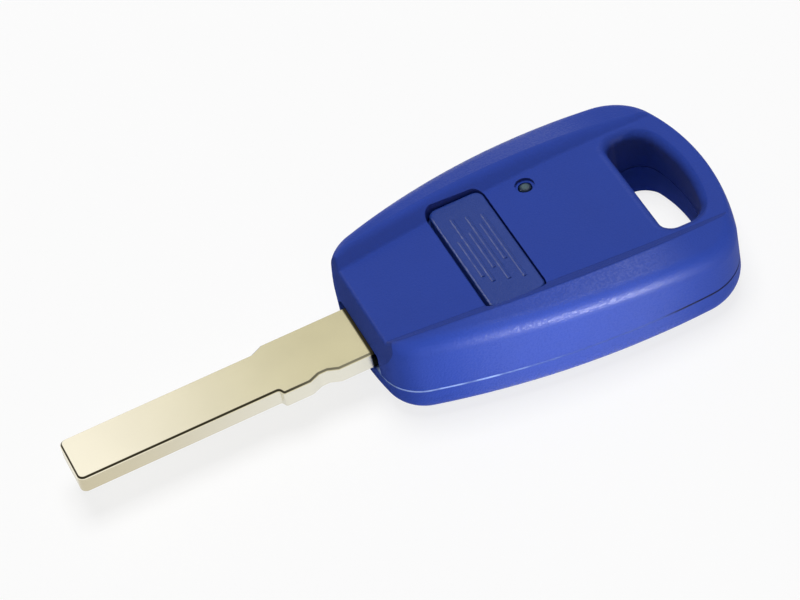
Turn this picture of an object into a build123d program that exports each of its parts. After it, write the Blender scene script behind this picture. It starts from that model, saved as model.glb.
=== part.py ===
"""One-button remote car key: a moulded two-part head, an uncut blade and the electronics inside.

Units are millimetres. X runs along the key from the blade's tip to the ring slot, Y across the
head and Z up. The origin is under the middle of the key, on the surface that it lies on.
"""

from build123d import *
import os
from math import atan2, degrees, hypot, sqrt

# Main sizes
blade_reach = 42.0          # blade standing out of the head
head_length = 53.5          # front of the head to its rear
head_width = 35.8           # head at its widest
underside_drop = 6.8        # middle plane of the blade down to the underside
crest_rise = 7.3            # middle plane of the blade up to the ridge crests

# Plan of the head
side_radius = 112.0         # long side arcs
rear_taper_start = 14.5     # rear of the head to the widest station
front_radius = 45.0         # bowed front
rear_radius = 40.0          # bowed rear
front_corner = 6.5
rear_corner = 7.8

# Section of the head
wall = 1.6
spine_radius = 240.0        # lengthwise arch of the top
crown_radius = 80.0         # crosswise arch of the top
crest_station = 19.0        # front of the head to the top of the arch
crest_half_width = 11.8     # where the crests stand beside the middle line
shoulder_radius = 2.5       # rounded upper edge
belly_radius = 3.9          # rounded lower edge
nose_setback = 0.65         # front of the head to the leaning face, over the blade
nose_lean = 16.0            # degrees that the front of the upper shell leans back
seam_edge = 0.15            # small bevel that shows the seam, and groove of the seam in the slot
overrun = 5.0               # cutting shapes run this far past what they cut
touch = 0.001               # edges this near a surface count as lying on it
arch_turn = 16.0            # degrees to each side that the arched top is swept through

# Sunk panel along the top
panel_rise = 5.55           # middle plane of the blade up to the panel
ridge_front = 3.25          # side arc in to the panel, at the front
ridge_rear = 4.3            # the same at the rear, at the height of the arch's top
panel_radius = 700.0        # lengthwise arch of the panel
bank_front = 1.14           # width of the sloped bank for each millimetre of its height
bank_rear = 1.95
panel_foot = 0.6            # rounded corner between panel and bank
panel_edge = 0.6            # rounded edges of the panel and crests

# Ring slot
slot_length = 7.5
slot_half_width = 9.4
slot_rear_wall = 3.4        # slot to the rear of the head
slot_rear_radius = 24.0
slot_front_corner = 1.8
slot_rear_corner = 3.5
slot_rim = 1.4              # rounded rim in the panel
slot_low_rim = 0.7          # rounded rim in the underside

# Blade
blade_thickness = 3.0
blade_width = 8.0
shank_width = 9.8
shank_reach = 12.8          # wide shank standing out of the head
near_step = 0.4             # length of the sloped step to the narrow blade
far_step = 1.8              # the same on the far edge
step_corner = 0.4           # rounded corners of the steps and the notch
notch_station = 6.6         # front of the head to the middle of the notch
notch_bottom = 1.2
notch_length = 4.2
notch_depth = 0.65
tip_corner = 1.0
blade_bevel = 0.35
tang_length = 15.0          # blade inside the head
blade_side_gap = 1.7        # beside the shank, in the mouth of the head
blade_top_gap = 0.1
mouth_corner = 1.0
pin_diameter = 3.0
pin_stations = (5.4, 11.4)  # front of the head to the two blade pins
pin_fit = 0.1               # radial room round a pin
pin_engagement = 1.6        # pin above the blade, in its socket
rib = 1.0                   # thickness of the ribs inside the head
clamp_spacing = 3.6         # middle line to the ribs that hold the blade

# Button
button_station = 20.4       # front of the head to the middle of the button
button_length = 8.1         # along the key
button_half_width = 10.55   # across the key
button_corner = 1.3
button_gap = 0.25
button_front_gap = 0.55     # the wider gap in front of the button
button_proud = 0.25         # above the panel
button_edge = 0.45
button_flange = 1.0         # flange beyond the cap, under the panel
flange_thickness = 0.75
flange_room = 0.25
button_travel = 0.5
grip_count = 3
grip_pitch = 2.0
grip_shift = 0.3            # middle of the button back to the middle ridge
grip_length = 13.4
grip_stagger = 0.7          # each ridge is shifted sideways from the one in front
grip_radius = 0.35
grip_height = 0.14
grip_second = 0.85          # a long ridge to the short one in front of it
grip_second_length = 7.6

# Status light
light_station = 30.1        # front of the head to the light
light_offset = 8.0          # to the far side of the middle line
light_hole = 2.8
light_sink = 0.5
pipe_diameter = 1.9
pipe_fit = 0.08
pipe_flange = 3.4
pipe_flange_thickness = 0.6
pipe_boss = 0.1             # boss over the flange, below the ceiling

# Circuit board
board_thickness = 1.0
board_rise = 0.6            # middle plane of the blade up to the board's top
board_width = 25.0
board_corner = 2.0
tang_room = 0.8             # end of the tang to the board
slot_room = 0.5             # board to the wall of the ring slot
board_pin = 1.2
board_pin_hole = 1.5
board_pin_inset = 1.9
board_pin_height = 1.0      # pin above the board
post_diameter = 2.9
tab_hold = 1.0              # tabs reach this far over the board's front corners
tab_height = 1.6

# Switch
switch_size = 4.5
switch_height = 1.3
cover_thickness = 0.15
plunger_diameter = 2.4
plunger_rise = 1.75         # top of the plunger above the board
plunger_depth = 0.95        # length of the plunger
plunger_travel = 0.35
plunger_fit = 0.05
collar_diameter = 2.9
collar_thickness = 0.25
terminal_length = 0.6
terminal_width = 0.7
terminal_thickness = 0.15

# Silicone seal over the switch
seal_length = 7.4           # along the key
seal_half_width = 7.5
seal_base = 0.45
seal_skirt = 0.6
seal_lean = 0.7             # skirt leans inwards by this much
seal_top = 0.5
nub_diameter = 2.0
nub_gap = 0.05

# Coin cell and its contacts
cell_diameter = 20.0
cell_thickness = 3.2
cell_cap_diameter = 17.6
cell_cap_height = 0.35
cell_edge = 0.4
contact_thickness = 0.25
contact_bump = 0.25         # height of the bump
contact_bump_diameter = 2.5
contact_length = 10.0
contact_corner = 1.0
strap_thickness = 0.3
strap_width = 5.0
strap_gap = 0.15
strap_inset = 0.4           # end of the strap to the edge of the board
cradle_wall = 0.9
cradle_height = 1.6
cradle_gap = 0.3

# Parts on the board
led_length = 3.2
led_width = 1.6
led_base = 0.5
led_height = 1.2
led_lens_length = 2.1
led_lens_edge = 0.15
chip_length = 8.7
chip_width = 3.9
chip_height = 1.5
chip_gap = 0.3              # legs to the antenna
chip_legs = 7               # on each side
chip_leg_pitch = 1.27
chip_leg_width = 0.4
chip_leg_reach = 1.0
chip_leg_thickness = 0.2
saw_size = 5.0
saw_height = 1.4
saw_offset = 2.5            # to the far side of the middle line
crystal_length = 5.0
crystal_width = 3.2
crystal_height = 1.1
transistor_length = 2.9
transistor_width = 1.3
transistor_height = 1.0
transistor_offset = 6.25    # to the far side of the middle line
small_part_length = 1.6
small_part_width = 0.8
component_edge = 0.08       # bevelled upper edges of the components
resistor_height = 0.45
resistor_count = 4
resistor_pitch = 1.6
resistor_offset = 5.6       # to the near side of the middle line
capacitor_height = 0.8
antenna_width = 0.8
antenna_thickness = 0.2
antenna_end = 2.0           # last run of the strip

# Glass transponder capsule beside the blade
capsule_length = 10.5
capsule_diameter = 2.1
capsule_gap = 0.3           # to the rib that guides the blade
capsule_lift = 0.5          # above the floor
capsule_end = 0.8           # rounded ends

# Seam and snap hooks
lip_height = 0.8
lip_thickness = 0.65
lip_fit = 0.1
mouth_margin = 1.2          # lip ends this far from the mouth
ledge_depth = 0.55
hook_width = 4.0
hook_thickness = 0.9
hook_reach = 0.5            # barb beyond the hook
hook_rise = 2.4             # barb's catch above the seam
hook_room = 0.12
hook_stations = (10.5, 35.5)  # front of the head to the hooks
ledge_height = 0.9

# Places worked out from the sizes
x_tip = -(blade_reach + head_length) / 2
x_front = x_tip + blade_reach
x_rear = x_front + head_length
x_wide = x_rear - rear_taper_start
x_crest = x_front + crest_station
z_blade = underside_drop
z_seam = z_blade - blade_thickness / 2
z_blade_top = z_blade + blade_thickness / 2
z_crown = z_blade + crest_rise + crest_half_width**2 / (2 * crown_radius)
z_panel = z_blade + panel_rise
z_mouth = z_blade_top + blade_top_gap
z_high = z_crown + wall     # above everything
x_slot_rear = x_rear - slot_rear_wall
x_slot_front = x_slot_rear - slot_length
x_tang_end = x_front + tang_length
x_button = x_front + button_station
x_light = x_front + light_station
x_board_front = x_tang_end + tang_room
x_board_rear = x_slot_front - wall - slot_room
x_board = (x_board_front + x_board_rear) / 2
board_length = x_board_rear - x_board_front
z_board_top = z_blade + board_rise
z_board = z_board_top - board_thickness
z_flange_top = z_panel - wall
z_flange = z_flange_top - flange_thickness
x_cell = x_board_rear - cell_diameter / 2 - strap_gap
z_cell_top = z_board - contact_thickness - contact_bump
z_cell = z_cell_top - cell_thickness
z_hook_catch = z_seam + hook_rise
z_pin_top = z_blade_top + pin_engagement
z_board_pin = z_board_top + board_pin_height
y_board_pin = board_width / 2 - board_pin_inset
y_antenna = y_board_pin - post_diameter / 2 - small_part_width
x_clamp_end = x_button - button_length / 2 - button_flange - flange_room - rib / 2
z_switch_top = z_board_top + switch_height
z_switch_floor = z_switch_top - collar_thickness - 2 * plunger_travel
z_plunger_top = z_board_top + plunger_rise
x_capsule = x_tang_end - capsule_length / 2
y_capsule = shank_width / 2 + pin_fit + rib + capsule_gap + capsule_diameter / 2
z_capsule = wall + capsule_lift + capsule_diameter / 2


def panel_height(x):
    """Height of the panel at a station, on its lengthwise arch."""
    return z_panel - panel_radius + sqrt(panel_radius**2 - (x - x_crest) ** 2)


def side_half_width(x):
    """Half of the head's width at a station along the long side arcs."""
    return head_width / 2 - side_radius + sqrt(side_radius**2 - (x - x_wide) ** 2)


z_pipe_seat = panel_height(x_light + pipe_flange / 2) - wall - pipe_boss


def block(x_min, x_max, y_min, y_max, z_min, z_max):
    """A box between two corners."""
    size = (x_max - x_min, y_max - y_min, z_max - z_min)
    centre = ((x_min + x_max) / 2, (y_min + y_max) / 2, (z_min + z_max) / 2)
    return Pos(*centre) * Box(*size)


def rod(x, y, z_min, z_max, diameter):
    """An upright cylinder."""
    height = z_max - z_min
    return Pos(x, y, z_min + height / 2) * Cylinder(diameter / 2, height)


def plate(face, z_min, z_max):
    """A flat outline made into a plate between two heights."""
    return extrude(Pos(0, 0, z_min) * face, z_max - z_min)


def head_outline(inset=0.0):
    """Plan of the head: side, front and rear arcs that meet in rounded corners."""
    reach = side_radius - head_width / 2
    face = Pos(x_wide, -reach) * Circle(side_radius - inset)
    face &= Pos(x_wide, reach) * Circle(side_radius - inset)
    face &= Pos(x_front + front_radius, 0) * Circle(front_radius - inset)
    face &= Pos(x_rear - rear_radius, 0) * Rot(0, 0, 180) * Circle(rear_radius - inset)
    face = fillet(face.vertices().sort_by(Axis.X)[:2], front_corner - inset)
    return fillet(face.vertices().sort_by(Axis.X)[-2:], rear_corner - inset)


def crown(drop=0.0):
    """Everything under the doubly arched top of the head, lowered by drop."""
    z_top = z_crown - drop
    half = head_width / 2 + overrun
    edge = z_top - crown_radius + sqrt(crown_radius**2 - half**2)
    arc = ThreePointArc((-half, edge), (0, z_top), (half, edge))
    sides = Polyline((half, edge), (half, -overrun), (-half, -overrun), (-half, edge))
    profile = Pos(x_crest, 0, 0) * (Plane.YZ * make_face([arc, sides]))
    axis = Axis((x_crest, 0, z_top - spine_radius), (0, 1, 0))
    return revolve(profile, axis, 2 * arch_turn).rotate(axis, -arch_turn)


def arched_floor(z):
    """Everything under a surface with the arch of the panel, z high at the top of the arch."""
    return Pos(x_crest, 0, z - panel_radius) * Rot(90, 0, 0) * Cylinder(panel_radius, 2 * head_width)


def panel_channel(grow=0.0):
    """Room over the sunk panel, with sloped banks; grow makes the same shape one wall deeper."""
    x_0 = x_front - overrun
    x_1 = x_rear + overrun
    outlines = []
    for z in (panel_height(x_rear) - grow - panel_foot, z_high):
        front = side_half_width(x_front) - ridge_front
        front += grow * hypot(1, bank_front) + (z - z_panel) * bank_front
        rear = side_half_width(x_rear) - ridge_rear
        rear += grow * hypot(1, bank_rear) + (z - z_panel) * bank_rear
        slope = (rear - front) / (x_rear - x_front)
        half_0 = front + slope * (x_0 - x_front)
        half_1 = rear + slope * (x_1 - x_rear)
        corners = [(x_0, -half_0), (x_1, -half_1), (x_1, half_1), (x_0, half_0)]
        outlines.append(Pos(0, 0, z) * make_face(Polyline(*corners, close=True)))
    banks = loft(outlines, ruled=True)
    return banks - arched_floor(z_panel - grow)


def nose(grow=0.0):
    """Room in front of the leaning face of the upper shell, or the same room one wall deeper."""
    room = Pos(grow - overrun / 2, 0, 0) * Box(overrun, 2 * head_width, 2 * head_width)
    return Pos(x_front + nose_setback, 0, z_mouth) * Rot(0, nose_lean, 0) * room


def slot_outline(grow=0.0):
    """Plan of the ring slot: straight in front, bowed behind."""
    middle = Pos((x_slot_front + x_slot_rear) / 2, 0)
    face = middle * Rectangle(slot_length + 2 * grow, 2 * (slot_half_width + grow))
    face &= Pos(x_slot_rear - slot_rear_radius, 0) * Rot(0, 0, 180) * Circle(slot_rear_radius + grow)
    face = fillet(face.vertices().sort_by(Axis.X)[:2], slot_front_corner + grow)
    return fillet(face.vertices().sort_by(Axis.X)[-2:], slot_rear_corner + grow)


def upper_block(inset=0.0):
    """Outer form of the head above the seam, or the same form one wall inside it."""
    body = (plate(head_outline(inset), z_seam, z_high) & crown(inset)).solid()
    rim = [e for e in body.edges() if e.center().Z > z_blade_top and not is_upright(e)]
    return fillet(rim, shoulder_radius - inset)


def lower_block(inset=0.0):
    """Outer form of the head below the seam, or the same form one wall inside it."""
    body = plate(head_outline(inset), inset, z_seam).solid()
    return fillet(body.edges().group_by(Axis.Z)[0], belly_radius - inset)


def is_upright(edge):
    """Whether an edge runs straight up."""
    return abs(edge.tangent_at(0.5).Z) > 0.99


def on_skin(edge, solid):
    """Whether an edge lies on the surface of a solid."""
    middle = edge @ 0.5
    return min(face.distance_to(middle) for face in solid.faces()) < touch


def slot_groove():
    """Fine groove round the inside of the ring slot, where the shells meet."""
    return plate(slot_outline(seam_edge), z_seam - seam_edge, z_seam + seam_edge)


def slot_rim_edges(form):
    """Edges round the mouth of the ring slot, leaving out those at the seam."""
    edges = [e for e in form.edges() if x_slot_front - touch < e.center().X < x_slot_rear + touch]
    edges = [e for e in edges if abs(e.center().Y) < slot_half_width + touch and not is_upright(e)]
    return [e for e in edges if abs(e.center().Z - z_seam) > touch]


def upper_form():
    """Outside of the upper shell: the arched block with the panel, the leaning front and the slot."""
    body = upper_block()
    body = chamfer(body.edges().group_by(Axis.Z)[0], seam_edge)
    channel = panel_channel()
    feet = [e for e in channel.edges() if abs(e.tangent_at(0.5).X) > 0.9 and e.center().Z < z_panel]
    channel = fillet(feet, panel_foot)
    front = nose()
    form = body - channel - front
    rims = [e for e in form.edges() if on_skin(e, channel) and (on_skin(e, body) or on_skin(e, front))]
    form = fillet(rims, panel_edge) - plate(slot_outline(), -overrun, z_high)
    return fillet(slot_rim_edges(form), slot_rim)


def lower_form():
    """Outside of the lower shell: a flat underside with rounded edges, and the slot."""
    form = lower_block()
    form = chamfer(form.edges().group_by(Axis.Z)[-1], seam_edge) - plate(slot_outline(), -overrun, z_high)
    return fillet(slot_rim_edges(form), slot_low_rim)


def mirrored(shape):
    """A shape and its mirror image across the middle line."""
    return shape + mirror(shape, Plane.XZ)


def rounded_plate(x, y, length, width, radius, z_min, z_max):
    """A plate with rounded corners."""
    return plate(Pos(x, y) * RectangleRounded(length, width, radius), z_min, z_max)


def hook_place(station):
    """Frame on the side of the head, with its Y axis pointing out of the wall."""
    x = x_front + station
    slope = degrees(atan2(x_wide - x, side_radius))
    return Pos(x, side_half_width(x), 0) * Rot(0, 0, slope)


def rib_pair(y, thickness, x_min, x_max, z_min, z_max):
    """Two equal ribs along the key, one on each side of the middle line."""
    far = block(x_min, x_max, y - thickness / 2, y + thickness / 2, z_min, z_max)
    return mirrored(far)


def upper_inside():
    """Ribs, sockets, posts, tabs and ledges that hang inside the upper shell."""
    parts = rib_pair(clamp_spacing, rib, x_front + wall / 2, x_clamp_end, z_blade_top, z_high)
    for station in pin_stations:
        x = x_front + station
        parts += rod(x, 0, z_blade_top, z_high, pin_diameter + 2 * pin_fit + 2 * rib)
        parts += block(x - rib / 2, x + rib / 2, -clamp_spacing, clamp_spacing, z_blade_top, z_high)
    for station in pin_stations:
        parts -= rod(x_front + station, 0, z_seam, z_pin_top + pin_fit, pin_diameter + 2 * pin_fit)
    x = x_board_rear - board_pin_inset
    post = rod(x, y_board_pin, z_board_top, z_high, post_diameter)
    post -= rod(x, y_board_pin, z_board, z_board_pin + pin_fit, board_pin_hole)
    parts += mirrored(post)
    x = x_board_front + board_pin_inset
    tab = block(x - rib / 2, x + rib / 2, board_width / 2 - tab_hold, head_width,
                z_board_top, z_board_top + tab_height)
    parts += mirrored(tab)
    parts += rod(x_light, light_offset, z_pipe_seat, z_high, pipe_flange + 2 * rib)
    parts += plate(slot_outline(wall), z_seam, z_high)
    for station in hook_stations:
        ledge = block(-hook_width / 2 - rib, hook_width / 2 + rib, -wall - ledge_depth, 0,
                      z_hook_catch - ledge_height, z_hook_catch - hook_room / 2)
        parts += mirrored(hook_place(station) * ledge)
    return parts & (upper_block(wall / 2) - panel_channel(wall / 2) - nose(wall / 2))


def mouth():
    """Opening for the blade in the front of the upper shell, wider than the shank, with round corners."""
    opening = RectangleRounded(shank_width + 2 * blade_side_gap, 2 * (z_mouth - z_seam), mouth_corner)
    return extrude(Pos(x_front - overrun, 0, z_seam) * (Plane.YZ * opening), overrun + 2 * wall)


def upper_shell():
    """Top half of the head: arched, with the sunk panel, the openings and the ribs inside."""
    form = upper_form()
    room = upper_block(wall) - panel_channel(wall) - nose(wall)
    skirt = plate(head_outline(wall - lip_thickness - lip_fit), z_seam, z_seam + lip_height + lip_fit)
    shell = form - room - skirt + (upper_inside() & form)
    shell -= mouth() + slot_groove()
    shell -= plate(button_hole(), z_flange, z_high)
    flange_half = button_half_width + button_flange + flange_room
    flange_reach = button_length / 2 + button_flange + flange_room
    shell -= block(x_button - flange_reach, x_button + flange_reach, -flange_half, flange_half,
                   z_flange - button_travel - flange_room, z_flange_top)
    shell -= rod(x_light, light_offset, z_pipe_seat - wall, z_high, pipe_diameter + 2 * pipe_fit)
    shell -= rod(x_light, light_offset, panel_height(x_light) - light_sink, z_high, light_hole)
    return shell


def blade_bed():
    """Ribs, guides, stop and pins that locate the blade's tang."""
    floor = wall / 2
    bed = rib_pair(clamp_spacing, rib, x_front, x_tang_end, floor, z_seam) & lower_block(floor)
    guide = shank_width / 2 + pin_fit + rib / 2
    bed += rib_pair(guide, rib, x_front + 2 * wall, x_tang_end, floor, z_blade)
    stop = x_tang_end + pin_fit
    bed += block(stop, stop + rib, -guide, guide, floor, z_board - pin_fit)
    for station in pin_stations:
        x = x_front + station
        bed += block(x - rib / 2, x + rib / 2, -guide, guide, floor, z_seam)
        bed += rod(x, 0, floor, z_seam, pin_diameter + 2 * rib)
        bed += rod(x, 0, floor, z_pin_top, pin_diameter)
    return bed


def cell_cradle():
    """Ring that keeps the coin cell in place, open where the strap passes."""
    bore = cell_diameter + 2 * cradle_gap
    cradle = rod(x_cell, 0, wall / 2, z_cell + cradle_height, bore + 2 * cradle_wall)
    cradle -= rod(x_cell, 0, 0, z_cell_top, bore)
    gap = strap_width / 2 + cradle_gap
    return cradle - block(x_cell - gap, x_cell + gap, -head_width, head_width, 0, z_cell_top)


def capsule_saddles():
    """Two saddles under the transponder capsule."""
    saddles = None
    low = y_capsule - capsule_diameter / 2 - rib / 2
    high = y_capsule + capsule_diameter / 2 + rib / 2
    for x in (x_capsule - capsule_length / 4, x_capsule + capsule_length / 4):
        saddle = block(x - rib / 2, x + rib / 2, low, high, wall / 2, z_capsule)
        saddles = saddle if saddles is None else saddles + saddle
    groove = Cylinder(capsule_diameter / 2 + pin_fit / 2, capsule_length + 2 * pin_fit)
    return saddles - Pos(x_capsule, y_capsule, z_capsule) * Rot(0, 90, 0) * groove


def snap_hook():
    """A springy hook with a sloped barb, standing one room away from the ledge it catches."""
    back = -wall - ledge_depth - hook_room - hook_thickness
    face = back + hook_thickness
    top = z_hook_catch + 2 * hook_reach
    profile = [(back, wall / 2), (face, wall / 2), (face, z_hook_catch), (face + hook_reach, z_hook_catch),
               (face, top), (back, top)]
    return extrude(Plane.YZ * make_face(Polyline(*profile, close=True)), hook_width / 2, both=True)


def lower_shell():
    """Bottom half of the head: a tray with a lip and everything that locates the inside."""
    form = lower_form()
    lip = plate(head_outline(wall - lip_thickness), z_seam, z_seam + lip_height)
    lip -= plate(head_outline(wall), z_seam, z_seam + lip_height)
    half_mouth = shank_width / 2 + blade_side_gap + mouth_margin
    lip -= block(x_front - overrun, x_front + 2 * front_corner, -half_mouth, half_mouth, z_seam, z_high)
    tube = plate(slot_outline(wall), wall / 2, z_seam) & form
    shell = form - lower_block(wall) + lip + tube + blade_bed() + cell_cradle() + capsule_saddles()
    for x in (x_board_front + board_pin_inset, x_board_rear - board_pin_inset):
        shell += mirrored(rod(x, y_board_pin, wall / 2, z_board, post_diameter))
        shell += mirrored(rod(x, y_board_pin, wall / 2, z_board_pin, board_pin))
    for station in hook_stations:
        shell += mirrored(hook_place(station) * snap_hook())
    return shell - plate(slot_outline(), -overrun, z_high) - slot_groove()


def button_outline(grow=0.0):
    """Plan of the button."""
    return Pos(x_button, 0) * RectangleRounded(
        button_length + 2 * grow, 2 * (button_half_width + grow), button_corner + grow)


def button_hole():
    """Plan of the button's opening in the panel."""
    shift = button_front_gap - button_gap
    return button_outline(button_gap) + Pos(-shift, 0) * button_outline(button_gap)


def grip_ridge(x, y, length):
    """Rounded ridge across the top of the button."""
    z = panel_height(x) + button_proud + grip_height - grip_radius
    return Pos(x, y, z) * Rot(90, 0, 0) * Cylinder(grip_radius, length)


def button_cap():
    """Push button: a cap with grip ridges, pockets under it and a flange that keeps it in."""
    cap = (plate(button_outline(), z_flange, z_high) & arched_floor(z_panel + button_proud)).solid()
    rim = [e for e in cap.edges() if e.center().Z > z_flange_top and not is_upright(e)]
    cap = fillet(rim, button_edge)
    for index in range(grip_count):
        step = index - (grip_count - 1) / 2
        x = x_button + grip_shift + step * grip_pitch
        cap += grip_ridge(x, -step * grip_stagger, grip_length)
        cap += grip_ridge(x - grip_second, step * grip_stagger, grip_second_length)
    flange_length = button_length + 2 * button_flange
    flange_width = 2 * (button_half_width + button_flange)
    cap += rounded_plate(x_button, 0, flange_length, flange_width, button_corner, z_flange, z_flange_top)
    pocket_x = button_length / 2 - rib
    pocket = block(x_button - pocket_x, x_button + pocket_x, seal_half_width / 2, button_half_width - rib,
                   z_flange, z_panel - rib)
    return cap - mirrored(pocket)


def seal_face(inset):
    """Foot of the seal's dome."""
    return Pos(x_button, 0) * RectangleRounded(
        seal_length - 2 * inset, 2 * (seal_half_width - inset), button_corner)


def button_seal():
    """Silicone dome between the switch and the button, standing on the board."""
    height = z_flange - z_board_top
    lean = degrees(atan2(seal_lean, height))
    foot = Pos(0, 0, z_board_top)
    seal = plate(seal_face(0), z_board_top, z_board_top + seal_base)
    seal += extrude(foot * seal_face(seal_base), height, taper=lean)
    room = extrude(foot * seal_face(seal_base + seal_skirt), height - seal_top, taper=lean)
    return seal - room + rod(x_button, 0, z_plunger_top + nub_gap, z_flange, nub_diameter)


def light_pipe():
    """Clear rod that carries the status light to the panel."""
    top = panel_height(x_light) - light_sink / 2
    pipe = rod(x_light, light_offset, z_board_top + led_height + nub_gap, top, pipe_diameter)
    pipe = fillet(pipe.edges().group_by(Axis.Z)[-1], pipe_diameter / 4)
    return pipe + rod(x_light, light_offset, z_pipe_seat - pipe_flange_thickness, z_pipe_seat, pipe_flange)


def key_blade():
    """Uncut blade with a wide shank, a notch on its near edge and a drilled tang."""
    thin = blade_width / 2
    wide = shank_width / 2
    x_step = x_front - shank_reach
    x_notch = x_front - notch_station
    near = [(x_tip, -thin), (x_step - near_step / 2, -thin), (x_step + near_step / 2, -wide),
            (x_notch - notch_length / 2, -wide), (x_notch - notch_bottom / 2, notch_depth - wide),
            (x_notch + notch_bottom / 2, notch_depth - wide), (x_notch + notch_length / 2, -wide),
            (x_tang_end, -wide)]
    far = [(x_tang_end, wide), (x_step + far_step / 2, wide), (x_step - far_step / 2, thin), (x_tip, thin)]
    face = make_face(Polyline(*near, *far, close=True))
    columns = face.vertices().group_by(Axis.X)
    face = fillet(columns[0] + columns[-1], tip_corner)
    face = fillet([v for v in face.vertices() if x_step - far_step < v.X < x_front], step_corner)
    blade = plate(face, z_seam, z_blade_top).solid()
    edges = blade.edges().group_by(Axis.Z)
    blade = chamfer(edges[0] + edges[-1], blade_bevel)
    for station in pin_stations:
        blade -= rod(x_front + station, 0, 0, z_high, pin_diameter + 2 * pin_fit)
    return blade


def circuit_board():
    """Board with its four locating holes."""
    board = rounded_plate(x_board, 0, board_length, board_width, board_corner, z_board, z_board_top)
    for x in (x_board_front + board_pin_inset, x_board_rear - board_pin_inset):
        board -= mirrored(rod(x, y_board_pin, 0, z_high, board_pin_hole))
    return board


def switch_body():
    """Base of the push switch, with its bore and four terminals."""
    half = switch_size / 2
    body = block(x_button - half, x_button + half, -half, half, z_board_top, z_switch_top)
    body -= rod(x_button, 0, z_switch_floor, z_high, collar_diameter + 2 * plunger_fit)
    for x in (x_button - half + terminal_width / 2, x_button + half - terminal_width / 2):
        body += block(x - terminal_width / 2, x + terminal_width / 2, -half - terminal_length,
                      half + terminal_length, z_board_top, z_board_top + terminal_thickness)
    return body


def switch_cover():
    """Thin metal cover that keeps the plunger in the switch."""
    half = switch_size / 2
    cover = block(x_button - half, x_button + half, -half, half,
                  z_switch_top, z_switch_top + cover_thickness)
    return cover - rod(x_button, 0, 0, z_high, plunger_diameter + 2 * plunger_fit)


def switch_plunger():
    """Plunger of the switch, with the collar that the cover holds down."""
    stem = rod(x_button, 0, z_plunger_top - plunger_depth, z_plunger_top, plunger_diameter)
    return stem + rod(x_button, 0, z_switch_top - collar_thickness, z_switch_top, collar_diameter)


def status_led():
    """Small status lamp under the light pipe."""
    x = x_light
    y = light_offset
    base = block(x - led_length / 2, x + led_length / 2, y - led_width / 2, y + led_width / 2,
                 z_board_top, z_board_top + led_base)
    half = led_lens_length / 2
    lens = block(x - half, x + half, y - led_width / 2, y + led_width / 2,
                 z_board_top + led_base, z_board_top + led_height)
    lens = chamfer(lens.edges().group_by(Axis.Z)[-1], led_lens_edge)
    return base + lens


def coin_cell():
    """Sealed coin cell: the can below and the smaller cap above."""
    can = rod(x_cell, 0, z_cell, z_cell_top - cell_cap_height, cell_diameter)
    can = fillet(can.edges().filter_by(GeomType.CIRCLE), cell_edge)
    cap = rod(x_cell, 0, z_cell_top - cell_cap_height, z_cell_top, cell_cap_diameter)
    return can + cap


def battery_contact():
    """Flat contact under the board, with a bump that meets the cell's cap."""
    low = z_board - contact_thickness
    contact = rounded_plate(x_cell, 0, contact_length, strap_width, contact_corner, low, z_board)
    return contact + rod(x_cell, 0, z_cell_top, z_board, contact_bump_diameter)


def battery_strap():
    """Bent strap that passes under the cell and is soldered to the board on both sides."""
    inner = cell_diameter / 2 + strap_gap
    outer = inner + strap_thickness
    foot = board_width / 2 - strap_inset
    low = z_cell - strap_thickness
    shelf = z_board - strap_thickness
    section = [(0, low), (outer, low), (outer, shelf), (foot, shelf), (foot, z_board), (inner, z_board),
               (inner, z_cell), (0, z_cell)]
    profile = make_face(Polyline(*section, close=True))
    corners = [v for v in profile.vertices() if strap_gap < v.X < foot - strap_gap]
    profile = fillet(corners, strap_thickness / 2)
    leg = extrude(Pos(x_cell, 0, 0) * (Plane.YZ * profile), strap_width / 2, both=True)
    return mirrored(leg)


def board_part(x, y, length, width, height):
    """A plain component on the board, with its upper edges bevelled."""
    part = block(x - length / 2, x + length / 2, y - width / 2, y + width / 2,
                 z_board_top, z_board_top + height)
    return chamfer(part.edges().group_by(Axis.Z)[-1], component_edge)


def encoder_chip():
    """Code chip with its two rows of legs."""
    x = x_board_rear - board_pin_inset - chip_length / 2 - post_diameter / 2
    y = chip_width / 2 + chip_leg_reach + chip_gap + antenna_width / 2 - y_antenna
    chip = board_part(x, y, chip_length, chip_width, chip_height)
    half = chip_width / 2
    knee = chip_leg_reach / 2
    low = z_board_top
    high = z_board_top + chip_height / 2
    bend = half + knee - chip_leg_thickness
    leg = [(0, high), (half + knee, high), (half + knee, low + chip_leg_thickness),
           (half + chip_leg_reach, low + chip_leg_thickness), (half + chip_leg_reach, low),
           (bend, low), (bend, high - chip_leg_thickness), (0, high - chip_leg_thickness)]
    profile = make_face(Polyline(*leg, close=True))
    for index in range(chip_legs):
        place = x + (index - (chip_legs - 1) / 2) * chip_leg_pitch
        bent = extrude(Plane.YZ * profile, chip_leg_width / 2, both=True)
        chip += Pos(place, y, 0) * mirrored(bent)
    return chip


def saw_resonator():
    """Radio resonator."""
    return board_part(x_cell + saw_size, saw_offset, saw_size, saw_size, saw_height)


def quartz_crystal():
    """Clock crystal in its metal can."""
    x = x_button + seal_length / 2 + crystal_width
    return board_part(x, crystal_width / 2, crystal_width, crystal_length, crystal_height)


def rf_transistor():
    """Transistor that drives the antenna."""
    x = x_cell + saw_size
    return board_part(x, transistor_offset, transistor_length, transistor_width, transistor_height)


def small_parts(places, height):
    """Equal small components, each a solid of its own."""
    group = [board_part(x, y, small_part_length, small_part_width, height) for x, y in places]
    return Compound(children=[part.solid() for part in group])


def chip_resistors():
    """Resistors in a row behind the seal."""
    x = x_button + seal_length / 2 + small_part_length
    steps = [index - (resistor_count - 1) / 2 for index in range(resistor_count)]
    return small_parts([(x, step * resistor_pitch - resistor_offset) for step in steps], resistor_height)


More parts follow.
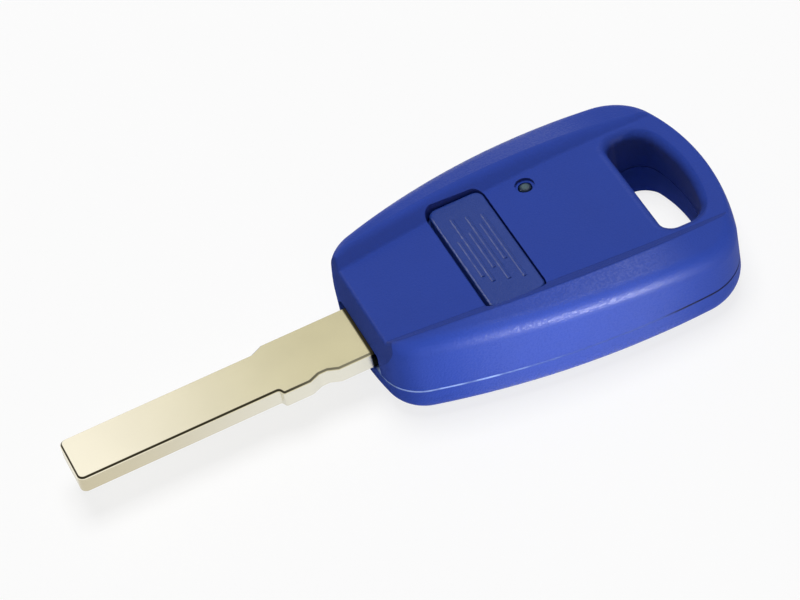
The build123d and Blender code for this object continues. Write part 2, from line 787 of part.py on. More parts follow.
def chip_capacitors():
    """Capacitors beside the chip."""
    x = x_cell + small_part_length
    y = -board_width / 2 + 2 * small_part_width
    return small_parts([(x + index * 2 * small_part_length, y) for index in range(-1, 1)], capacitor_height)


def loop_antenna():
    """Copper strip along the edges of the board."""
    y = board_width / 2 - small_part_width
    x_0 = x_button + seal_length / 2 + small_part_length
    x_1 = x_board_rear - board_pin_inset - post_diameter
    x_2 = x_board_rear - small_part_width
    points = [(x_0, y), (x_1, y), (x_1, y_antenna), (x_2, y_antenna), (x_2, -y_antenna),
              (x_1, -y_antenna), (x_1, -y), (x_1 - antenna_end, -y)]
    strip = make_face(offset(Polyline(*points), antenna_width / 2))
    return plate(strip, z_board_top, z_board_top + antenna_thickness)


def transponder_capsule():
    """Sealed glass capsule of the immobiliser."""
    place = Pos(x_capsule, y_capsule, z_capsule) * Rot(0, 90, 0)
    tube = place * Cylinder(capsule_diameter / 2, capsule_length)
    return fillet(tube.edges().filter_by(GeomType.CIRCLE), capsule_end)


pieces = [
    upper_shell, lower_shell, key_blade, button_cap, button_seal, light_pipe, circuit_board, switch_body,
    switch_cover, switch_plunger, status_led, coin_cell, battery_contact, battery_strap, encoder_chip,
    saw_resonator, quartz_crystal, rf_transistor, chip_resistors, chip_capacitors, loop_antenna,
    transponder_capsule,
]

os.makedirs("parts", exist_ok=True)
for make in pieces:
    export_step(make(), f"parts/{make.__name__}.step")
    print(make.__name__, flush=True)
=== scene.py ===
"""Looks of a car key: moulded blue plastic, a plated blade and the electronics inside.

The file is laid out as a Blender add-on and run as a script. It loads the packed model of the key
as a fixed frame, gives every node its finish and sets up the floor, the lamps and the camera.
Lengths are metres and colours are linear. X runs from the blade's tip to the ring slot, Y to the
side of the status light, and Z up out of the button.
"""

from math import cos, radians, sin

import bpy
import numpy as np
from bpy.props import FloatProperty, FloatVectorProperty, PointerProperty
from mathutils import Matrix, Vector


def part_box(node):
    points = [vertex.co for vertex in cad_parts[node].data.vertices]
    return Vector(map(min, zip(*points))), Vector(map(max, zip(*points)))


bl_info = {
    "name": "Car Key",
    "version": (1, 0, 0),
    "blender": (4, 5, 0),
    "location": "3D View > Sidebar > Car Key",
    "description": "Finishes, lamps and camera for a remote car key",
    "category": "Object",
}

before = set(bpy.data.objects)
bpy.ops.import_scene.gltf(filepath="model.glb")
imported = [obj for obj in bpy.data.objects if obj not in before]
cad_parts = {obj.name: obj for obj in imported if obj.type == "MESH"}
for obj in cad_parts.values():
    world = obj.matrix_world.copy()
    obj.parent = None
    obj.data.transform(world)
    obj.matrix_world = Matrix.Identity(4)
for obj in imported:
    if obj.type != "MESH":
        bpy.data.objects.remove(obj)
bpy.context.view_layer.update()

MM = 0.001


# Places on the key, from the frame apart from the slot's length

blade_low, blade_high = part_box("key_blade")
pipe_low, pipe_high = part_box("light_pipe")

FRONT_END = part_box("lower_shell")[0][0]                # along X, where the blade enters the head
REAR_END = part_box("upper_shell")[1][0]                 # along X, behind the ring slot
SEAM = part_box("upper_shell")[0][2]                     # height where the shells meet
MIDDLE = (blade_low[2] + blade_high[2]) / 2            # height of the blade's middle plane
HALF_BLADE = (blade_high[2] - blade_low[2]) / 2        # half the blade's thickness
LENS_TOP = ((pipe_low[0] + pipe_high[0]) / 2, (pipe_low[1] + pipe_high[1]) / 2, pipe_high[2])
HALF_SLOT = 9.4 * MM                                   # half the ring slot's length across the head


# Sizes and colours that a user would change

def length(name, description, default):
    """A property that holds a length in metres."""
    return FloatProperty(name=name, description=description, default=default, min=0.0,
                         precision=5, subtype="DISTANCE", unit="LENGTH")


def point(name, description, default):
    """A property that holds a point, in metres."""
    return FloatVectorProperty(name=name, description=description, default=default, size=3,
                               precision=5, subtype="TRANSLATION", unit="LENGTH")


def amount(name, description, default, low=0.0, high=1.0):
    """A property that holds a plain number."""
    return FloatProperty(name=name, description=description, default=default, min=low, max=high)


def colour(name, description, default):
    """A property that holds a linear colour."""
    return FloatVectorProperty(name=name, description=description, default=default, size=3,
                               min=0.0, max=1.0, subtype="COLOR")


def angle(name, description, degrees):
    """A property that holds an angle."""
    return FloatProperty(name=name, description=description, default=radians(degrees),
                         subtype="ANGLE", unit="ROTATION")


class KeyShellSettings(bpy.types.PropertyGroup):
    """Plastic of the head, its button and its light."""
    plastic: colour("Plastic", "Colour of both shells", (0.020, 0.051, 0.32))
    button: colour("Button", "Colour of the push button", (0.019, 0.047, 0.245))
    # The seam colour is a painted highlight at the front corners of the seam, and painted light along
    # its groove.
    painted_seam_highlight: colour("Seam", "Colour of the rubbed edge at the seam", (0.34, 0.46, 0.78))
    # This dark colour draws the line at the rear seam, and it is also the painted shade on the banks
    # and the front end.
    seam_line_and_painted_shade: colour("Dirt", "Colour of the dirt in the rear seam and on the banks", (0.002, 0.004, 0.03))
    lens: colour("Lens", "Colour in the middle of the status light", (0.07, 0.12, 0.14))
    rim: colour("Lens edge", "Colour at the edge of the status light", (0.01, 0.02, 0.05))
    roughness: amount("Roughness", "Roughness of the shells where nothing rubs them", 0.62)
    worn: amount("Worn", "Roughness of the rubbed sides, as a share of the first", 0.50)
    matt: amount("Matt", "Roughness of the slot and front end, as a share of the first", 1.6, high=2.0)
    gloss: amount("Gloss", "Strength of the reflections all over", 0.15)
    rubbed: amount("Rubbed gloss", "Extra clear gloss on the sides that fingers rub", 0.5)
    rubbed_roughness: amount("Rubbed roughness", "Roughness of the extra clear gloss", 0.5)
    grain: length("Grain", "Size of the moulded grain", 0.30 * MM)
    grain_depth: length("Grain depth", "Height of the moulded grain", 0.07 * MM)


class KeyBladeSettings(bpy.types.PropertyGroup):
    """Plating of the blade."""
    # The plating and tip colours make a painted reflection: the flat faces grow paler towards the tip.
    plating: colour("Plating", "Colour of the flat faces near the head", (0.57, 0.52, 0.33))
    tip: colour("Tip", "Colour of the flat faces at the tip", (0.92, 0.86, 0.69))
    # The side colours are painted reflection too: the same plating, given another tone on the sides.
    wall: colour("Side", "Colour of the blade's sides near the head", (0.78, 0.76, 0.66))
    wall_tip: colour("Side at the tip", "Colour of the blade's sides at the tip", (0.60, 0.54, 0.38))
    # The edge colour is also the painted shade on the blade inside the head.
    edge: colour("Edge", "Colour of the dark line along the edges", (0.03, 0.025, 0.012))
    roughness: amount("Roughness", "Roughness of the plating", 0.2)
    brushing: length("Brushing", "Spacing of the brushed lines", 0.12 * MM)


class KeyInsideSettings(bpy.types.PropertyGroup):
    """Finishes of the parts inside the head."""
    board: colour("Board", "Colour of the solder mask", (0.02, 0.20, 0.06))
    silicone: colour("Silicone", "Colour of the seal", (0.22, 0.23, 0.25))
    steel: colour("Steel", "Colour of plated steel", (0.62, 0.62, 0.61))
    black: colour("Black", "Colour of the moulded chips", (0.012, 0.012, 0.013))
    plunger: colour("Plunger", "Colour of the switch's plunger", (0.45, 0.43, 0.38))
    lamp: colour("Lamp", "Colour of the status lamp", (0.55, 0.07, 0.05))
    ceramic: colour("Ceramic", "Colour of the capacitors", (0.42, 0.27, 0.13))
    copper: colour("Copper", "Colour of the antenna", (0.80, 0.36, 0.20))
    glass: colour("Glass", "Colour of the transponder capsule", (0.28, 0.33, 0.30))
    brushing: length("Brushing", "Spacing of the brushed lines on metal", 0.1 * MM)


class KeyStageSettings(bpy.types.PropertyGroup):
    """Floor, world and camera."""
    floor: colour("Floor", "Colour of the floor", (0.93, 0.93, 0.93))
    white: amount("White", "Share of plain white in the floor that the camera sees", 0.8)
    surround: amount("Surround", "Strength of the world's light on the key", 0.12)
    aim: point("Aim", "Point that the camera looks at", (2.238 * MM, 3.140 * MM, MIDDLE))
    azimuth: angle("Azimuth", "Turn of the camera round the key", -15.266)
    elevation: angle("Elevation", "Height of the camera over the floor", 46.524)
    roll: angle("Roll", "Turn of the picture", -13.082)
    distance: length("Distance", "Camera to the point that it looks at", 474.53 * MM)
    focal: amount("Focal length", "Focal length of the camera in millimetres", 157.93, 10.0, 500.0)


# Shader nodes

def put(tree, kind, sockets=None, **settings):
    """Places a node, sets its properties, and sets or links each named input."""
    node = tree.nodes.new(kind)
    for name, value in settings.items():
        setattr(node, name, value)
    for name, value in (sockets or {}).items():
        if isinstance(value, bpy.types.NodeSocket):
            tree.links.new(value, node.inputs[name])
        else:
            node.inputs[name].default_value = value
    return node


def object_place(tree):
    """Object coordinates, in metres."""
    return put(tree, "ShaderNodeTexCoord").outputs["Object"]


def object_normal(tree):
    """The way a face points, in object coordinates."""
    return put(tree, "ShaderNodeTexCoord").outputs["Normal"]


def axes(tree, vector):
    """The X, Y and Z of a vector, by name."""
    return put(tree, "ShaderNodeSeparateXYZ", {"Vector": vector}).outputs


def noise(tree, place, scale, detail):
    """Soft noise from 0 to 1; the scale is in cells a metre."""
    node = put(tree, "ShaderNodeTexNoise", {"Vector": place, "Scale": scale, "Detail": detail})
    return node.outputs["Fac"]


def reckon(tree, operation, a, b=0.0, c=0.0):
    """One step of arithmetic; each input is a number or a socket."""
    return put(tree, "ShaderNodeMath", {0: a, 1: b, 2: c}, operation=operation).outputs[0]


def product(tree, first, *others):
    """All the values multiplied."""
    for other in others:
        first = reckon(tree, "MULTIPLY", first, other)
    return first


def gap(tree, value, level):
    """How far a value is from a level, either way."""
    return reckon(tree, "ABSOLUTE", reckon(tree, "SUBTRACT", value, level))


def spread(tree, value, start, end, out_start=0.0, out_end=1.0):
    """Goes smoothly from one output to the other as the value goes from start to end."""
    return put(tree, "ShaderNodeMapRange", {"Value": value, "From Min": start, "From Max": end,
                                            "To Min": out_start, "To Max": out_end},
               interpolation_type="SMOOTHSTEP").outputs[0]


def blended(tree, factor, a, b):
    """A colour that goes from a to b; each is a colour or a socket."""
    node = put(tree, "ShaderNodeMix", {0: factor}, data_type="RGBA")
    for index, value in ((6, a), (7, b)):
        if isinstance(value, bpy.types.NodeSocket):
            tree.links.new(value, node.inputs[index])
        else:
            node.inputs[index].default_value = (*value, 1.0)
    return node.outputs[2]


def fed(tree, label):
    """What feeds an input of the Principled shader so far."""
    return tree.nodes["Principled BSDF"].inputs[label].links[0].from_socket


def feed(tree, label, value):
    """Feeds an input of the Principled shader."""
    tree.links.new(value, tree.nodes["Principled BSDF"].inputs[label])


# Surface effects, each a node group that several materials share

def new_group(name, inputs):
    """An empty node group that puts out a height, a roughness and a tone.

    inputs holds each float input's default by its name. The group comes back with the sockets
    that give its inputs and the sockets that take its outputs.
    """
    group = bpy.data.node_groups.new(name, "ShaderNodeTree")
    for label, default in inputs.items():
        socket = group.interface.new_socket(label, in_out="INPUT", socket_type="NodeSocketFloat")
        socket.default_value = default
    for label in ("Height", "Roughness", "Tone"):
        group.interface.new_socket(label, in_out="OUTPUT", socket_type="NodeSocketFloat")
    return group, group.nodes.new("NodeGroupInput").outputs, group.nodes.new("NodeGroupOutput").inputs


def put_out(group, given, result, relief, clouds):
    """Ends an effect: its height is the relief times Depth, and the clouds vary roughness and tone."""
    group.links.new(reckon(group, "MULTIPLY", relief, given["Depth"]), result["Height"])
    swing = reckon(group, "SUBTRACT", clouds, 0.5)
    group.links.new(reckon(group, "MULTIPLY_ADD", swing, given["Variation"], given["Roughness"]),
                    result["Roughness"])
    group.links.new(clouds, result["Tone"])


def moulded_grain():
    """Group: the fine pebbled grain of a moulded part, with cloudy patches about 11 mm across."""
    name = "Moulded Grain"
    if name in bpy.data.node_groups:
        return bpy.data.node_groups[name]
    group, given, result = new_group(name, {"Size": 0.30 * MM, "Depth": 0.07 * MM,
                                            "Roughness": 0.4, "Variation": 0.08})
    place = object_place(group)
    pebbles = noise(group, place, reckon(group, "DIVIDE", 1.0, given["Size"]), detail=2.0)
    patches = noise(group, place, scale=90.0, detail=3.0)
    put_out(group, given, result, pebbles, patches)
    return group


def brushed_lines():
    """Group: fine lines left by brushing along X, with smudges about 8 mm across.

    The lines are noise drawn out fifty times along X.
    """
    name = "Brushed Lines"
    if name in bpy.data.node_groups:
        return bpy.data.node_groups[name]
    group, given, result = new_group(name, {"Spacing": 0.12 * MM, "Depth": 0.0006 * MM,
                                            "Roughness": 0.2, "Variation": 0.1})
    place = object_place(group)
    drawn = put(group, "ShaderNodeMapping", {"Vector": place, "Scale": (0.02, 1.0, 1.0)})
    closeness = reckon(group, "DIVIDE", 1.0, given["Spacing"])
    lines = noise(group, drawn.outputs["Vector"], closeness, detail=3.0)
    smudges = noise(group, place, scale=120.0, detail=2.0)
    put_out(group, given, result, lines, smudges)
    return group


# Materials

def finish_of(name):
    """An empty material with a Principled shader; gives the material, its tree and the shader."""
    material = bpy.data.materials.new(name)
    material.use_nodes = True
    return material, material.node_tree, material.node_tree.nodes["Principled BSDF"]


def textured(name, group, base, group_values, shader_values, tone_share):
    """A material whose height, roughness and tone come from one group.

    The tone makes the base colour darker and lighter by tone_share.
    """
    material, tree, shader = finish_of(name)
    effect = put(tree, "ShaderNodeGroup", node_tree=group)
    for label, value in group_values.items():
        effect.inputs[label].default_value = value
    for label, value in shader_values.items():
        shader.inputs[label].default_value = value
    darker = tuple(channel * (1 - tone_share) for channel in base)
    lighter = tuple(min(1.0, channel * (1 + tone_share)) for channel in base)
    bump = put(tree, "ShaderNodeBump", {"Height": effect.outputs["Height"], "Distance": 1.0})
    feed(tree, "Base Color", blended(tree, effect.outputs["Tone"], darker, lighter))
    feed(tree, "Roughness", effect.outputs["Roughness"])
    feed(tree, "Normal", bump.outputs["Normal"])
    return material


def plastic(name, base, settings, roughness):
    """Moulded plastic with a fine grain."""
    grain = {"Size": settings.grain, "Depth": settings.grain_depth, "Roughness": roughness}
    gloss = {"Specular IOR Level": settings.gloss}
    return textured(name, moulded_grain(), base, grain, gloss, tone_share=0.08)


def metal(name, base, settings, roughness):
    """Plated or bare metal with brushed lines."""
    lines = {"Spacing": settings.brushing, "Roughness": roughness}
    return textured(name, brushed_lines(), base, lines, {"Metallic": 1.0}, tone_share=0.04)


def off_the_slot(tree, place):
    """Goes from zero at the ring slot, and in front of it, to one beside it and behind it."""
    behind = spread(tree, place["X"], REAR_END - 2.25 * MM, REAR_END - 1.25 * MM)
    aside = reckon(tree, "ABSOLUTE", place["Y"])
    beside = spread(tree, aside, HALF_SLOT + 0.8 * MM, HALF_SLOT + 1.8 * MM)
    return reckon(tree, "MAXIMUM", behind, beside)


def draw_seam(material, settings):
    """Draws the seam on the shells: a paler line at the front, a painted highlight, and a dark line at
    the rear.

    The paler line is nearly whole at the front corners and breaks up behind them, because its strength
    is a cloudy noise less a steady fall along X. Off the dark line a trace of that colour is painted
    light that hides the shadow in the seam's groove. The front end between the corners has no line.
    """
    tree = material.node_tree
    place = axes(tree, object_place(tree))
    band = spread(tree, gap(tree, place["Z"], SEAM), 0.18 * MM, 0.10 * MM)
    at_rear = spread(tree, place["X"], 30.5 * MM, 34.5 * MM)
    rear = product(tree, off_the_slot(tree, place), at_rear)

    # Painted highlight: a paler line at the front corners of the seam, in place of a lamp's glint on
    # its bevel.
    fall_per_metre = 12.0
    clouds = noise(tree, object_place(tree), scale=260.0, detail=3.0)
    strength = reckon(tree, "MULTIPLY_ADD", place["X"], -fall_per_metre, clouds)
    at_front = spread(tree, place["X"], 22.0 * MM, 7.0 * MM)
    front = product(tree, spread(tree, strength, 0.25, 0.55), at_front)
    # Painted light: off the dark line, a trace of the paler colour hides the shadow in the seam's
    # groove.
    trace = 0.11
    off_rear = reckon(tree, "MULTIPLY_ADD", rear, -trace, trace)
    off_front_end = spread(tree, place["X"], FRONT_END + 0.35 * MM, FRONT_END + 0.75 * MM)
    painted_seam_highlight = product(tree, reckon(tree, "MAXIMUM", front, off_rear), off_front_end)
    tone = blended(tree, product(tree, band, painted_seam_highlight), fed(tree, "Base Color"), settings.painted_seam_highlight)
    feed(tree, "Base Color", blended(tree, product(tree, band, rear), tone, settings.seam_line_and_painted_shade))


def shade_banks(material, settings):
    """Paints shade on the banks of the sunk panel, most at negative Y, and a little on the front end.

    A face is a bank where it faces the key's middle line: there the way it points along Y, times
    its own Y, is below zero.
    """
    tree = material.node_tree
    place = axes(tree, object_place(tree))
    normal = axes(tree, object_normal(tree))
    inward = product(tree, place["Y"], normal["Y"], -1.0)
    strength = spread(tree, place["Y"], 4.0 * MM, -4.0 * MM, 0.06, 0.32)
    # Painted shade on the banks, stronger at negative Y.
    bank = product(tree, spread(tree, inward, 0.5 * MM, 3.0 * MM), strength)
    # Painted shade on the front end, on faces turned towards negative X.
    front_end = spread(tree, normal["X"], -0.3, -0.8, 0.0, 0.08)
    painted_shade = reckon(tree, "MAXIMUM", bank, front_end)
    feed(tree, "Base Color", blended(tree, painted_shade, fed(tree, "Base Color"), settings.seam_line_and_painted_shade))


def rub_sides(material, settings):
    """Makes the sides of the head smoother and glossier where fingers hold it.

    The reach of a face is the distance to its plane from the key's middle line at X = 0. It is
    over 13 mm on the sides, under 7 mm on the panel and the underside, and below zero on the
    slot's side and rear walls, which face that point. A face is held where its reach is large and
    it is near held_at along X. The clear gloss fades on faces seen at a slant, and fine specks of
    the grain's size break it up. Those walls of the slot and the front end are matt.
    """
    tree = material.node_tree
    place = object_place(tree)
    normal = object_normal(tree)
    middle = (0.0, 0.0, MIDDLE)
    arm = put(tree, "ShaderNodeVectorMath", {0: place, 1: middle}, operation="SUBTRACT")
    reach = put(tree, "ShaderNodeVectorMath", {0: arm.outputs["Vector"], 1: normal},
                operation="DOT_PRODUCT").outputs["Value"]
    held_at = 19.5 * MM
    from_hold = gap(tree, axes(tree, place)["X"], held_at)
    outer = spread(tree, reach, 7.0 * MM, 13.0 * MM)
    held = product(tree, outer, spread(tree, from_hold, 8.0 * MM, 20.0 * MM, 1.0, 0.0))
    specks = noise(tree, place, 1.0 / settings.grain, detail=2.0)

    grain = fed(tree, "Roughness")
    polish = spread(tree, specks, 0.42, 0.58, 1.8 * settings.worn, 0.45 * settings.worn)
    ends = {0: held, 2: grain, 3: product(tree, grain, polish)}
    rough = put(tree, "ShaderNodeMix", ends, data_type="FLOAT").outputs[0]
    slot_walls = spread(tree, reach, -4.0 * MM, -9.0 * MM, 1.0, settings.matt)
    front_end = spread(tree, axes(tree, normal)["X"], -0.3, -0.8, 1.0, settings.matt)
    matt = reckon(tree, "MAXIMUM", slot_walls, front_end)
    feed(tree, "Roughness", product(tree, rough, matt))

    slant = put(tree, "ShaderNodeLayerWeight", {"Blend": 0.5}).outputs["Facing"]
    clear = spread(tree, slant, 0.40, 0.80, settings.rubbed, 0.0)
    broken = spread(tree, specks, 0.40, 0.60, 0.85, 1.15)
    feed(tree, "Coat Weight", product(tree, held, clear, broken))
    shader = tree.nodes["Principled BSDF"]
    shader.inputs["Coat Roughness"].default_value = settings.rubbed_roughness


def paint_blade_reflection_and_edges(material, settings):
    """Paints the plating paler towards the tip and another tone on the sides, both painted reflection,
    and dark along the edges.

    The dark line lies on the sides, just under the flat faces, and is weaker near the head. All of the
    blade that is inside the head is painted as dark as the line, a painted shade.
    """
    tree = material.node_tree
    place = axes(tree, object_place(tree))
    near_head = -8.0 * MM
    past_tip = -52.0 * MM
    # Painted reflection: the flat faces grow paler towards the tip, and the sides take another tone.
    to_tip = spread(tree, place["X"], near_head, past_tip)
    flats = blended(tree, to_tip, fed(tree, "Base Color"), settings.tip)
    sides = blended(tree, to_tip, settings.wall, settings.wall_tip)
    flatness = reckon(tree, "ABSOLUTE", axes(tree, object_normal(tree))["Z"])
    tone = blended(tree, spread(tree, flatness, 0.8, 0.4), flats, sides)

    under = reckon(tree, "SUBTRACT", HALF_BLADE, gap(tree, place["Z"], MIDDLE))
    top = spread(tree, under, 0.01 * MM, 0.07 * MM)
    foot = spread(tree, under, 0.30 * MM, 0.24 * MM)
    strength = spread(tree, place["X"], near_head, -20.0 * MM, 0.7, 1.0)
    tone = blended(tree, product(tree, top, foot, strength), tone, settings.edge)
    # Painted shade: the blade inside the head takes the edge colour.
    inside = spread(tree, place["X"], FRONT_END, FRONT_END + 0.30 * MM)
    feed(tree, "Base Color", blended(tree, inside, tone, settings.edge))


def tint_lens(material, settings):
    """Colours the status light by the distance from a point just under the lens's top."""
    tree = material.node_tree
    depth = 0.212 * MM
    middle = (LENS_TOP[0], LENS_TOP[1], LENS_TOP[2] - depth)
    out = put(tree, "ShaderNodeVectorMath", {0: object_place(tree), 1: middle}, operation="DISTANCE")
    edge = spread(tree, out.outputs["Value"], 0.25 * MM, 0.85 * MM)
    feed(tree, "Base Color", blended(tree, edge, settings.lens, settings.rim))


def dress(node, material):
    """Gives a node of the frame its material."""
    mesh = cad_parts[node].data
    mesh.materials.clear()
    mesh.materials.append(material)


# Lamps, floor, world and camera

def seen_rays(tree):
    """One for rays that show a surface: from the camera, mirrored or through glass; otherwise zero."""
    rays = put(tree, "ShaderNodeLightPath").outputs
    mirrored = reckon(tree, "MAXIMUM", rays["Is Glossy Ray"], rays["Is Transmission Ray"])
    return reckon(tree, "MAXIMUM", rays["Is Camera Ray"], mirrored)


def lamp_at(name, data, place, target):
    """Places a lamp, out of the camera's sight, so that it faces a point."""
    lamp = bpy.data.objects.new(name, data)
    bpy.context.scene.collection.objects.link(lamp)
    lamp.location = place
    lamp.rotation_mode = "QUATERNION"
    lamp.rotation_quaternion = (Vector(target) - Vector(place)).to_track_quat("-Z", "Y")
    lamp.visible_camera = False
    return lamp


def area_lamp(name, place, target, size, power):
    """A rectangular lamp that faces a point."""
    data = bpy.data.lights.new(name, "AREA")
    data.shape = "RECTANGLE"
    data.size, data.size_y = size
    data.energy = power
    return lamp_at(name, data, place, target)


def spot_lamp(name, place, target, cone, power):
    """A soft-edged round beam that faces a point; the cone is in degrees."""
    data = bpy.data.lights.new(name, "SPOT")
    data.spot_size = radians(cone)
    data.spot_blend = 1.0
    data.shadow_soft_size = 0.02
    data.energy = power
    return lamp_at(name, data, place, target)


def hang_lamps():
    """Two lamps that light the scene and make no glints, and three that only make glints."""
    head = (0.02, 0.0, 0.01)
    button = (0.017, 0.0, 0.01)
    crest_rear = (0.044, -0.014, 0.013)
    lights = (
        spot_lamp("Front Lamp", (0.012, -0.5, 0.012), button, cone=8.2, power=15.5),
        area_lamp("Top Lamp", (0.05, 0.1, 0.9), head, size=(0.5, 0.5), power=6.6),
    )
    for lamp in lights:
        lamp.visible_glossy = False
    glints = (
        area_lamp("Front Glint", (0.09, -0.5, 0.06), head, size=(0.14, 0.22), power=4.8),
        area_lamp("Side Glint", (0.30, 0.27, 0.70), crest_rear, size=(0.34, 0.34), power=1.8),
        area_lamp("Edge Glint", (-0.40, 0.43, 0.27), head, size=(0.1, 0.1), power=3.2),
    )
    for lamp in glints:
        lamp.visible_diffuse = False


def lay_floor(settings):
    """A flat square a hair under the key: its corners are the signs of X and Y times half its side.

    Where it is seen it is mostly plain white, and the rest is lit paper, which keeps the key's
    shadow. From below it lets the camera through.
    """
    half_side = 3.0
    hair = 0.05 * MM
    signs = np.array([(-1.0, -1.0, 0.0), (1.0, -1.0, 0.0), (1.0, 1.0, 0.0), (-1.0, 1.0, 0.0)])
    corners = signs * half_side - (0.0, 0.0, hair)
    mesh = bpy.data.meshes.new("Floor")
    mesh.from_pydata(corners.tolist(), [], [(0, 1, 2, 3)])
    floor = bpy.data.objects.new("Floor", mesh)
    bpy.context.scene.collection.objects.link(floor)
    material, tree, shader = finish_of("Floor Paper")
    shader.inputs["Base Color"].default_value = (*settings.floor, 1.0)
    shader.inputs["Roughness"].default_value = 0.8
    white = put(tree, "ShaderNodeEmission", {"Color": (1.0, 1.0, 1.0, 1.0), "Strength": 1.0})
    seen = product(tree, seen_rays(tree), settings.white)
    paper = put(tree, "ShaderNodeMixShader", {0: seen, 1: shader.outputs[0], 2: white.outputs[0]})
    below = put(tree, "ShaderNodeNewGeometry").outputs["Backfacing"]
    clear = put(tree, "ShaderNodeBsdfTransparent")
    both = put(tree, "ShaderNodeMixShader", {0: below, 1: paper.outputs[0], 2: clear.outputs[0]})
    tree.links.new(both.outputs[0], tree.nodes["Material Output"].inputs["Surface"])
    mesh.materials.append(material)


def light_world(scene, settings):
    """A white surround: plain white where it is seen, and weak as a light."""
    world = bpy.data.worlds.new("Studio")
    world.use_nodes = True
    scene.world = world
    tree = world.node_tree
    background = tree.nodes["Background"]
    level = put(tree, "ShaderNodeMapRange", {"Value": seen_rays(tree), "To Min": settings.surround,
                                             "To Max": 1.0})
    tree.links.new(level.outputs[0], background.inputs["Strength"])
    background.inputs["Color"].default_value = (1.0, 1.0, 1.0, 1.0)


def set_camera(scene, settings):
    """The camera of the photo: azimuth and elevation give the way from the aim to it, roll turns it."""
    side, rise, turn = settings.azimuth, settings.elevation, settings.roll
    back = Vector((sin(side) * cos(rise), -cos(side) * cos(rise), sin(rise)))
    level = Vector((0, 0, 1)).cross(back).normalized()
    upright = back.cross(level)
    right = cos(turn) * level + sin(turn) * upright
    up = -sin(turn) * level + cos(turn) * upright
    data = bpy.data.cameras.new("Camera")
    data.lens = settings.focal
    data.clip_start = 0.05
    data.clip_end = 20.0
    camera = bpy.data.objects.new("Camera", data)
    scene.collection.objects.link(camera)
    place = Vector(settings.aim) + back * settings.distance
    camera.matrix_world = Matrix.Translation(place) @ Matrix((right, up, back)).transposed().to_4x4()
    scene.camera = camera


# Operators, one for each piece or group of like pieces

class KEY_OT_shells(bpy.types.Operator):
    """Gives the two shells of the head their moulded plastic."""
    bl_idname = "key.shells"
    bl_label = "Shells"

    def execute(self, context):
        settings = context.scene.key_shell
        material = plastic("Head Plastic", settings.plastic, settings, settings.roughness)
        draw_seam(material, settings)
        shade_banks(material, settings)
        rub_sides(material, settings)
        dress("upper_shell", material)
        dress("lower_shell", material)
        return {"FINISHED"}


class KEY_OT_button(bpy.types.Operator):
    """Gives the push button its plastic."""
    bl_idname = "key.button"
    bl_label = "Button"

    def execute(self, context):
        settings = context.scene.key_shell
        dress("button_cap", plastic("Button Plastic", settings.button, settings, roughness=0.38))
        return {"FINISHED"}


class KEY_OT_blade(bpy.types.Operator):
    """Gives the blade its plating."""
    bl_idname = "key.blade"
    bl_label = "Blade"

    def execute(self, context):
        settings = context.scene.key_blade
        material = metal("Blade Plating", settings.plating, settings, settings.roughness)
        paint_blade_reflection_and_edges(material, settings)
        dress("key_blade", material)
        return {"FINISHED"}


class KEY_OT_light(bpy.types.Operator):
    """Gives the light pipe its clear plastic."""
    bl_idname = "key.light"
    bl_label = "Status light"

    def execute(self, context):
        settings = context.scene.key_shell
        material = plastic("Light Pipe", settings.lens, settings, roughness=0.12)
        tint_lens(material, settings)
        dress("light_pipe", material)
        return {"FINISHED"}


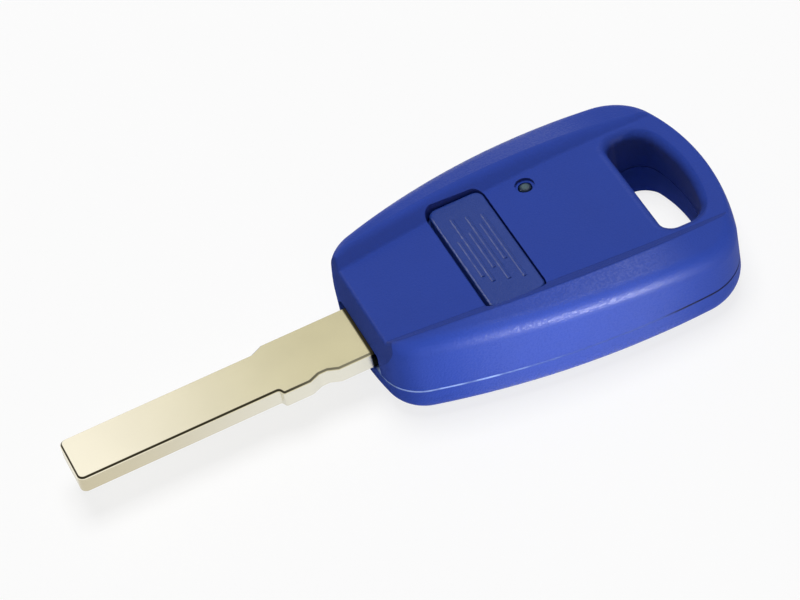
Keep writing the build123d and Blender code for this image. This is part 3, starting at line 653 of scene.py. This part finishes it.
class KEY_OT_inside(bpy.types.Operator):
    """Gives the electronics inside the head their finishes."""
    bl_idname = "key.inside"
    bl_label = "Inside parts"

    def execute(self, context):
        settings = context.scene.key_inside
        shell = context.scene.key_shell
        black = plastic("Black Epoxy", settings.black, shell, roughness=0.5)
        steel = metal("Plated Steel", settings.steel, settings, roughness=0.25)
        finishes = {
            "button_seal": plastic("Silicone", settings.silicone, shell, roughness=0.55),
            "circuit_board": plastic("Solder Mask", settings.board, shell, roughness=0.3),
            "switch_body": black,
            "switch_cover": steel,
            "switch_plunger": plastic("Plunger Plastic", settings.plunger, shell, roughness=0.4),
            "status_led": plastic("Lamp Epoxy", settings.lamp, shell, roughness=0.2),
            "coin_cell": steel,
            "battery_contact": steel,
            "battery_strap": steel,
            "encoder_chip": black,
            "saw_resonator": steel,
            "quartz_crystal": steel,
            "rf_transistor": black,
            "chip_resistors": black,
            "chip_capacitors": plastic("Ceramic", settings.ceramic, shell, roughness=0.45),
            "loop_antenna": metal("Copper", settings.copper, settings, roughness=0.3),
            "transponder_capsule": plastic("Capsule Glass", settings.glass, shell, roughness=0.05),
        }
        for node, material in finishes.items():
            dress(node, material)
        return {"FINISHED"}


class KEY_OT_stage(bpy.types.Operator):
    """Makes the floor, the world, the camera and the lamps."""
    bl_idname = "key.stage"
    bl_label = "Stage"

    def execute(self, context):
        settings = context.scene.key_stage
        lay_floor(settings)
        light_world(context.scene, settings)
        set_camera(context.scene, settings)
        hang_lamps()
        context.scene.view_settings.view_transform = "Standard"
        return {"FINISHED"}


class KEY_PT_panel(bpy.types.Panel):
    """Lists the operators and the sizes and colours of the key."""
    bl_label = "Car Key"
    bl_idname = "KEY_PT_panel"
    bl_space_type = "VIEW_3D"
    bl_region_type = "UI"
    bl_category = "Car Key"

    def draw(self, context):
        for operator in OPERATORS:
            self.layout.operator(operator.bl_idname)
        for name, group in SETTINGS.items():
            box = self.layout.box()
            box.label(text=group.__doc__)
            for label in group.__annotations__:
                box.prop(getattr(context.scene, name), label)


SETTINGS = {"key_shell": KeyShellSettings, "key_blade": KeyBladeSettings,
            "key_inside": KeyInsideSettings, "key_stage": KeyStageSettings}
OPERATORS = (KEY_OT_shells, KEY_OT_button, KEY_OT_blade, KEY_OT_light, KEY_OT_inside, KEY_OT_stage)
CLASSES = (*SETTINGS.values(), *OPERATORS, KEY_PT_panel)


def register():
    """Registers every class and hangs the settings on the scene."""
    for cls in CLASSES:
        bpy.utils.register_class(cls)
    for name, group in SETTINGS.items():
        setattr(bpy.types.Scene, name, PointerProperty(type=group))


def unregister():
    """Takes back what register did."""
    for name in SETTINGS:
        delattr(bpy.types.Scene, name)
    for cls in reversed(CLASSES):
        bpy.utils.unregister_class(cls)


def main():
    """Builds everything in order."""
    register()
    for operator in OPERATORS:
        group, name = operator.bl_idname.split(".")
        getattr(getattr(bpy.ops, group), name)()


if __name__ == "__main__":
    main()
